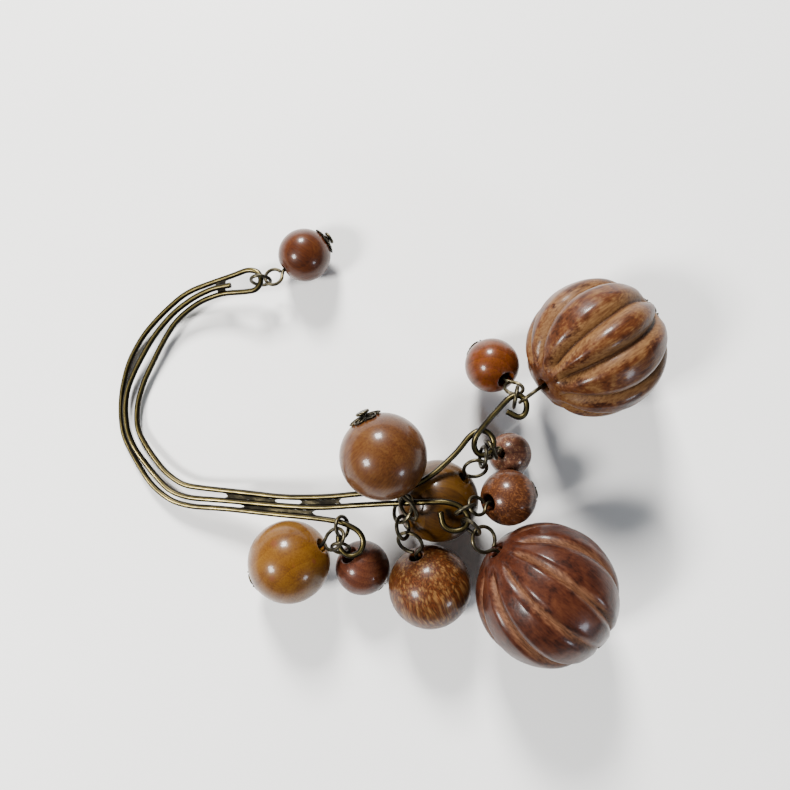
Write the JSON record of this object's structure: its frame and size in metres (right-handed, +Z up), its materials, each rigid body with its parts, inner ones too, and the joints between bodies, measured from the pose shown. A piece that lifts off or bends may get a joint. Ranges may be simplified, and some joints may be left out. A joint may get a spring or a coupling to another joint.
{
  "type": "decorative hair pin",
  "caption": "C-shaped wire hair hook that holds a ponytail or bun, with round and carved wooden beads hanging on headed pins and jump rings from its curled arms.",
  "frame": {"origin": "bottom centre of the whole hook lying on a table", "axes": "+X along the arms, away from the bend; +Y across them, towards the tip; +Z up from the table"},
  "size_m": [0.1022, 0.08, 0.0263],
  "materials": {
    "antique_brass": "antique, worn bright on top and dark in the recesses",
    "ring_brass": "darkened, satin",
    "pin_brass": "darkened, satin",
    "cap_brass": "blackened, satin",
    "solder": "dark, rough",
    "wood_red_brown": "lacquered",
    "wood_orange_red": "lacquered",
    "wood_amber": "lacquered",
    "wood_speckled": "lacquered",
    "wood_streaky_red": "lacquered",
    "carved_dark": "lacquered lobes, bare paler grooves",
    "carved_light": "lacquered lobes, bare paler grooves",
    "wood_amber_knots": "lacquered",
    "palm_wood": "lacquered",
    "wood_dark_red": "lacquered",
    "wood_tan": "lacquered"
  },
  "bodies": {
    "hook": {"long_wire": "antique_brass", "middle_wire": "antique_brass", "solder_outer": "solder", "solder_inner_bend": "solder", "solder_inner_arm": "solder", "solder_tip_outer": "solder", "solder_tip_inner": "solder"},
    "ring_shared": {"ring_shared": "ring_brass"},
    "ring_tip": {"ring_tip": "ring_brass"},
    "pin_tip": {"pin_tip": "pin_brass", "cap_tip": "cap_brass"},
    "bead_tip": {"bead_tip": "wood_red_brown"},
    "ring_orange": {"ring_orange": "ring_brass"},
    "pin_orange": {"pin_orange": "pin_brass", "cap_orange": "cap_brass"},
    "bead_orange": {"bead_orange": "wood_orange_red"},
    "ring_low_amber": {"ring_low_amber": "ring_brass"},
    "pin_low_amber": {"pin_low_amber": "pin_brass", "cap_low_amber": "cap_brass"},
    "bead_low_amber": {"bead_low_amber": "wood_amber"},
    "ring_speckled": {"ring_speckled": "ring_brass"},
    "pin_speckled": {"pin_speckled": "pin_brass", "cap_speckled": "cap_brass"},
    "bead_speckled": {"bead_speckled": "wood_speckled"},
    "ring_streaky": {"ring_streaky": "ring_brass"},
    "pin_streaky": {"pin_streaky": "pin_brass", "cap_streaky": "cap_brass"},
    "bead_streaky": {"bead_streaky": "wood_streaky_red"},
    "ring_dark_melon": {"ring_dark_melon": "ring_brass"},
    "pin_dark_melon": {"pin_dark_melon": "pin_brass", "cap_dark_melon": "cap_brass"},
    "bead_dark_melon": {"bead_dark_melon": "carved_dark"},
    "ring_side_amber": {"ring_side_amber": "ring_brass"},
    "pin_side_amber": {"pin_side_amber": "pin_brass", "cap_side_amber": "cap_brass"},
    "bead_side_amber": {"bead_side_amber": "wood_amber_knots"},
    "ring_palm": {"ring_palm": "ring_brass"},
    "pin_palm": {"pin_palm": "pin_brass", "cap_palm": "cap_brass"},
    "bead_palm": {"bead_palm": "palm_wood"},
    "pin_light_melon": {"pin_light_melon": "pin_brass", "cap_light_melon": "cap_brass"},
    "bead_light_melon": {"bead_light_melon": "carved_light"},
    "pin_dark_red": {"pin_dark_red": "pin_brass", "cap_dark_red": "cap_brass"},
    "bead_dark_red": {"bead_dark_red": "wood_dark_red"},
    "pin_tan": {"pin_tan": "pin_brass", "cap_tan": "cap_brass"},
    "bead_tan": {"bead_tan": "wood_tan"}
  },
  "joints": [
    {"name": "shared_ring_swing", "type": "hinge", "parent": "hook", "child": "ring_shared", "pos_m": [0.0041, -0.01156, 0.01432], "axis": [0.9416, 0.0606, 0.3312], "range_deg": [-3, 2]},
    {"name": "tip_ring_swing", "type": "hinge", "parent": "hook", "child": "ring_tip", "pos_m": [-0.02283, 0.03023, 0.00608], "axis": [0.2, -0.9785, 0.0499], "range_deg": [-45, 60]},
    {"name": "tip_pin_swing", "type": "hinge", "parent": "ring_tip", "child": "pin_tip", "pos_m": [-0.02118, 0.03009, 0.00552], "axis": [-0.1372, 0.276, 0.9513], "range_deg": [-45, 10]},
    {"name": "tip_bead_spin", "type": "hinge", "parent": "pin_tip", "child": "bead_tip", "pos_m": [-0.01469, 0.03494, 0.00505], "axis": [0.7993, 0.5981, -0.0583], "continuous": true},
    {"name": "orange_ring_swing", "type": "hinge", "parent": "hook", "child": "ring_orange", "pos_m": [0.0238, 0.00725, 0.0156], "axis": [0.993, 0.1177, 0], "range_deg": [-10, 35]},
    {"name": "orange_pin_swing", "type": "hinge", "parent": "ring_orange", "child": "pin_orange", "pos_m": [0.02421, 0.00817, 0.01353], "axis": [0.0612, 0.7175, 0.6938], "range_deg": [-5, 45]},
    {"name": "orange_bead_spin", "type": "hinge", "parent": "pin_orange", "child": "bead_orange", "pos_m": [0.02051, 0.01334, 0.0085], "axis": [-0.457, 0.6381, -0.6196], "continuous": true},
    {"name": "low_amber_ring_swing", "type": "hinge", "parent": "hook", "child": "ring_low_amber", "pos_m": [0.01791, -0.00323, 0.01371], "axis": [-0.9925, 0.1011, 0.0693], "range_deg": [-30, 0]},
    {"name": "low_amber_pin_swing", "type": "hinge", "parent": "ring_low_amber", "child": "pin_low_amber", "pos_m": [0.01767, -0.00485, 0.01325], "axis": [0.0818, -0.6954, 0.7139], "range_deg": [0, 3.5]},
    {"name": "low_amber_bead_spin", "type": "hinge", "parent": "pin_low_amber", "child": "bead_low_amber", "pos_m": [0.01041, -0.01156, 0.00755], "axis": [-0.6361, -0.5879, -0.4997], "continuous": true},
    {"name": "speckled_ring_swing", "type": "hinge", "parent": "hook", "child": "ring_speckled", "pos_m": [0.01968, -0.00224, 0.0138], "axis": [-0.5044, -0.8575, -0.1009], "range_deg": [-35, 5]},
    {"name": "speckled_pin_swing", "type": "hinge", "parent": "ring_speckled", "child": "pin_speckled", "pos_m": [0.01985, -0.00285, 0.0113], "axis": [-0.4716, 0.7892, -0.3932], "range_deg": [-55, 10]},
    {"name": "speckled_bead_spin", "type": "hinge", "parent": "pin_speckled", "child": "bead_speckled", "pos_m": [0.02401, -0.00306, 0.0059], "axis": [0.6094, -0.0306, -0.7923], "continuous": true},
    {"name": "streaky_ring_swing", "type": "hinge", "parent": "hook", "child": "ring_streaky", "pos_m": [0.01452, -0.01275, 0.0162], "axis": [0.6275, -0.7786, -0.0002], "range_deg": [-4, 50]},
    {"name": "streaky_pin_swing", "type": "hinge", "parent": "ring_streaky", "child": "pin_streaky", "pos_m": [0.01612, -0.01213, 0.01599], "axis": [-0.4463, -0.3938, -0.8036], "range_deg": [-4, 1.5]},
    {"name": "streaky_bead_spin", "type": "hinge", "parent": "pin_streaky", "child": "bead_streaky", "pos_m": [0.02281, -0.01076, 0.0116], "axis": [0.8242, 0.1688, -0.5405], "continuous": true},
    {"name": "dark_melon_ring_swing", "type": "hinge", "parent": "hook", "child": "ring_dark_melon", "pos_m": [0.01496, -0.01504, 0.0162], "axis": [-0.4202, -0.9074, 0], "range_deg": [-3, 55]},
    {"name": "dark_melon_pin_swing", "type": "hinge", "parent": "ring_dark_melon", "child": "pin_dark_melon", "pos_m": [0.01684, -0.01678, 0.01619], "axis": [0.3882, 0.1486, 0.9095], "range_deg": [-4, 1.5]},
    {"name": "dark_melon_bead_spin", "type": "hinge", "parent": "pin_dark_melon", "child": "bead_dark_melon", "pos_m": [0.02921, -0.02746, 0.01265], "axis": [0.7399, -0.6386, -0.2115], "continuous": true},
    {"name": "side_amber_ring_swing", "type": "hinge", "parent": "hook", "child": "ring_side_amber", "pos_m": [-0.00657, -0.01546, 0.01009], "axis": [-0.9347, 0.3442, -0.0881], "range_deg": [0, 60]},
    {"name": "side_amber_pin_swing", "type": "hinge", "parent": "ring_side_amber", "child": "pin_side_amber", "pos_m": [-0.00717, -0.01761, 0.01144], "axis": [-0.5283, 0.4499, 0.7201], "range_deg": [-1, 25]},
    {"name": "side_amber_bead_spin", "type": "hinge", "parent": "pin_side_amber", "child": "bead_side_amber", "pos_m": [-0.01669, -0.02256, 0.00755], "axis": [-0.8341, -0.4335, -0.3411], "continuous": true},
    {"name": "palm_ring_swing", "type": "hinge", "parent": "ring_shared", "child": "ring_palm", "pos_m": [0.00349, -0.01485, 0.01512], "axis": [-0.6118, -0.0217, -0.7907], "range_deg": [-1.5, 3]},
    {"name": "palm_pin_swing", "type": "hinge", "parent": "ring_palm", "child": "pin_palm", "pos_m": [0.00473, -0.01733, 0.01375], "axis": [-0.3471, -0.5926, 0.7269], "range_deg": [-1, 3]},
    {"name": "palm_bead_spin", "type": "hinge", "parent": "pin_palm", "child": "bead_palm", "pos_m": [0.00891, -0.02696, 0.0079], "axis": [0.3477, -0.8012, -0.487], "continuous": true},
    {"name": "light_melon_pin_swing", "type": "hinge", "parent": "hook", "child": "pin_light_melon", "pos_m": [0.02524, 0.00657, 0.0156], "axis": [0.6256, -0.7801, 0], "range_deg": [-5, 30]},
    {"name": "light_melon_bead_spin", "type": "hinge", "parent": "pin_light_melon", "child": "bead_light_melon", "pos_m": [0.03861, 0.01594, 0.0127], "axis": [0.8061, 0.5653, -0.175], "continuous": true},
    {"name": "dark_red_pin_swing", "type": "hinge", "parent": "hook", "child": "pin_dark_red", "pos_m": [-0.00731, -0.01966, 0.0102], "axis": [0.404, -0.9148, 0], "range_deg": [-5, 4]},
    {"name": "dark_red_bead_spin", "type": "hinge", "parent": "pin_dark_red", "child": "bead_dark_red", "pos_m": [-0.00339, -0.02396, 0.0053], "axis": [0.5156, -0.5645, -0.6446], "continuous": true},
    {"name": "tan_pin_swing", "type": "hinge", "parent": "ring_shared", "child": "pin_tan", "pos_m": [0.00525, -0.0132, 0.0166], "axis": [-0.3906, -0.9191, -0.0522], "range_deg": [-20, 3]},
    {"name": "tan_bead_spin", "type": "hinge", "parent": "pin_tan", "child": "bead_tan", "pos_m": [0.00061, -0.00346, 0.0188], "axis": [-0.4217, 0.8844, 0.1998], "continuous": true}
  ]
}
